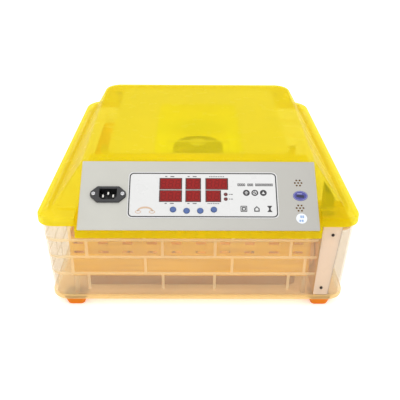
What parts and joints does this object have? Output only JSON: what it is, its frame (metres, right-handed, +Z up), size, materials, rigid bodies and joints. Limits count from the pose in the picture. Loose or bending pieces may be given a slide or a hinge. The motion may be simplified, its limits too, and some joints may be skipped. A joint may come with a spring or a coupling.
{
  "type": "egg incubator",
  "caption": "Table-top egg incubator: lift-off two-level lid with a sloped control panel and fan, over a brick-patterned base with egg turner and water channels.",
  "frame": {"origin": "on the surface the feet stand on, under the middle of the machine", "axes": "+Z up, +Y to the back, +X to the right seen from the front; the control panel faces -Y"},
  "size_m": [0.4428, 0.466, 0.198],
  "materials": {
    "lid_yellow": "translucent yellow moulded plastic, polished outside",
    "base_clear": "translucent frosted clear plastic with a brick pattern",
    "foot_orange": "matt orange plastic",
    "ivory_plastic": "smooth ivory plastic",
    "tray_orange": "orange moulded plastic, satin",
    "turner_white": "off-white plastic, satin",
    "water_tray_plastic": "pale grey-brown plastic",
    "steel": "bright steel",
    "motor_metal": "plated steel can",
    "panel_silver": "silver-grey film-faced panel",
    "label_white": "printed white film with plain symbols",
    "display_red": "dark red number display",
    "lamp_red": "red lamp lens",
    "button_blue": "blue push button",
    "black_plastic": "black moulded plastic",
    "board_green": "green circuit board",
    "pin_metal": "bright plated contact metal",
    "sticker_blue": "plain blue oval sticker",
    "sticker_white": "plain white round sticker",
    "relay_blue": "blue relay case",
    "core_metal": "laminated core with taped winding",
    "ceramic_white": "white ceramic",
    "heater_metal": "heat-tinted steel tube"
  },
  "bodies": {
    "base": {"base_shell": "base_clear", "feet": "foot_orange", "foot_screws": "steel", "motor_cover": "ivory_plastic", "motor_cover_screws": "steel", "motor_bay": "ivory_plastic", "base_socket": "black_plastic", "turner_motor": "motor_metal", "turner_motor_screws": "steel", "water_tray": "water_tray_plastic", "egg_tray": "tray_orange"},
    "turner": {"turner_frame": "turner_white", "lane_dividers": "turner_white", "turner_yoke": "turner_white"},
    "crank": {"drive_crank": "turner_white", "drive_shaft": "steel"},
    "fan": {"fan_rotor": "black_plastic", "fan_shaft": "steel"},
    "button_1": {"button_1": "button_blue"},
    "button_2": {"button_2": "button_blue"},
    "button_3": {"button_3": "button_blue"},
    "button_4": {"button_4": "button_blue"},
    "lid": {"lid_shell": "lid_yellow", "control_panel": "panel_silver", "panel_label": "label_white", "temperature_display": "display_red", "temperature_limit_display": "display_red", "humidity_display": "display_red", "humidity_limit_display": "display_red", "days_display": "display_red", "turns_display": "display_red", "indicator_lamps": "lamp_red", "button_switches": "black_plastic", "control_board": "board_green", "board_spacers": "ivory_plastic", "board_screws": "steel", "power_inlet": "black_plastic", "inlet_pins": "pin_metal", "inlet_screws": "steel", "oval_sticker": "sticker_blue", "round_sticker": "sticker_white", "electronics_cover": "ivory_plastic", "power_board": "board_green", "power_board_spacers": "ivory_plastic", "transformer": "core_metal", "heater_relay": "relay_blue", "buzzer": "black_plastic", "air_duct": "ivory_plastic", "duct_floor": "ivory_plastic", "duct_brackets": "ivory_plastic", "duct_screws": "steel", "fan_shroud": "black_plastic", "fan_bar": "steel", "fan_motor": "motor_metal", "heater_ring": "heater_metal", "heater_clips": "ceramic_white", "sensor_probe": "ivory_plastic", "lid_connector": "black_plastic"}
  },
  "joints": [
    {"name": "lid_lift", "type": "slide", "parent": "base", "child": "lid", "axis": [0, 0, 1], "range_m": [0, 0.12]},
    {"name": "turner_slide", "type": "slide", "parent": "base", "child": "turner", "axis": [0, 1, 0], "range_m": [-0.02, 0.02]},
    {"name": "crank_turn", "type": "hinge", "parent": "base", "child": "crank", "pos_m": [0.164, -0.174, 0.072], "axis": [-1, 0, 0], "range_deg": [-90.5, 90.5]},
    {"name": "fan_spin", "type": "hinge", "parent": "lid", "child": "fan", "pos_m": [0, -0.019, 0.16], "axis": [0, 0, 1], "continuous": true},
    {"name": "button_1_press", "type": "slide", "parent": "lid", "child": "button_1", "axis": [0, 0.5736, -0.8192], "range_m": [0, 0.0008], "stiffness_N_per_m": 300, "springref_m": -0.001},
    {"name": "button_2_press", "type": "slide", "parent": "lid", "child": "button_2", "axis": [0, 0.5736, -0.8192], "range_m": [0, 0.0008], "stiffness_N_per_m": 300, "springref_m": -0.001},
    {"name": "button_3_press", "type": "slide", "parent": "lid", "child": "button_3", "axis": [0, 0.5736, -0.8192], "range_m": [0, 0.0008], "stiffness_N_per_m": 300, "springref_m": -0.001},
    {"name": "button_4_press", "type": "slide", "parent": "lid", "child": "button_4", "axis": [0, 0.5736, -0.8192], "range_m": [0, 0.0008], "stiffness_N_per_m": 300, "springref_m": -0.001}
  ],
  "couplings": [
    {"joint": "crank_turn", "follows": "turner_slide", "rad_per_m": 78.54}
  ]
}
